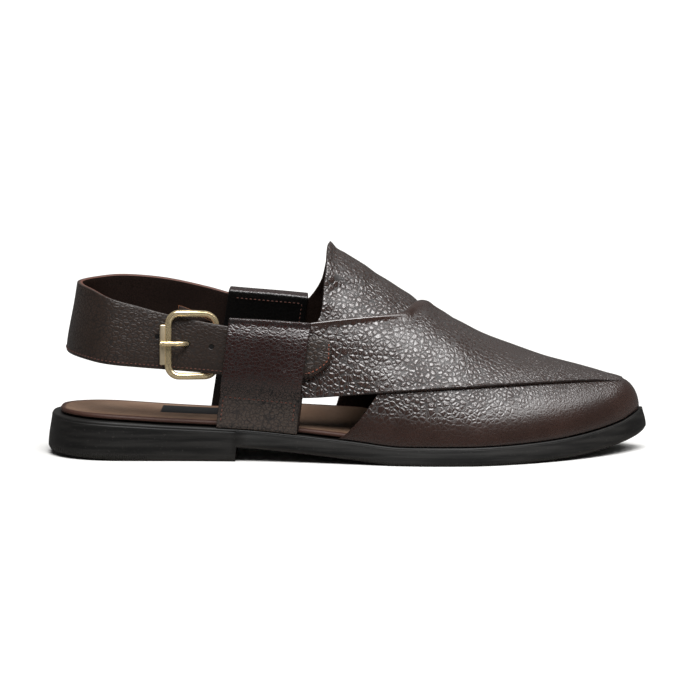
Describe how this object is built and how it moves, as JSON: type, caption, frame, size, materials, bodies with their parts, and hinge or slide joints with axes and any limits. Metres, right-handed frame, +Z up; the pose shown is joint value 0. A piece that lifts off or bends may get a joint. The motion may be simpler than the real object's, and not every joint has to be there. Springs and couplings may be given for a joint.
{
  "type": "peshawari chappal",
  "caption": "peshawari chappal: flat leather sandal with crossed vamp panels rising to a peak, toe band, side loops, buckled heel strap and low heel",
  "frame": {"origin": "centre of the footprint at the ground", "axes": "+X towards the toe, +Y towards the medial (inner) side, +Z up; the lateral side with the buckle faces -Y"},
  "size_m": [0.301, 0.1043, 0.1055],
  "materials": {
    "sole_rubber": "satin black moulded rubber",
    "sock_leather": "smooth taupe sock leather",
    "grain_leather": "dark brown pebbled grain, semi-gloss",
    "loop_leather": "oxblood brown pebbled grain, semi-gloss",
    "strap_leather": "grey-brown pebbled grain, soft sheen",
    "backing_leather": "brown lining leather, matt",
    "pale_brass": "polished pale gold",
    "satin_brass": "satin pale gold"
  },
  "bodies": {
    "root": {"outsole": "sole_rubber", "insole": "sock_leather", "upper": "grain_leather", "side_loop_lateral": "loop_leather", "side_loop_medial": "loop_leather", "heel_strap": "strap_leather", "buckle_strap": "backing_leather", "buckle_frame": "pale_brass", "buckle_roller": "satin_brass", "buckle_prong": "pale_brass"}
  },
  "joints": []
}
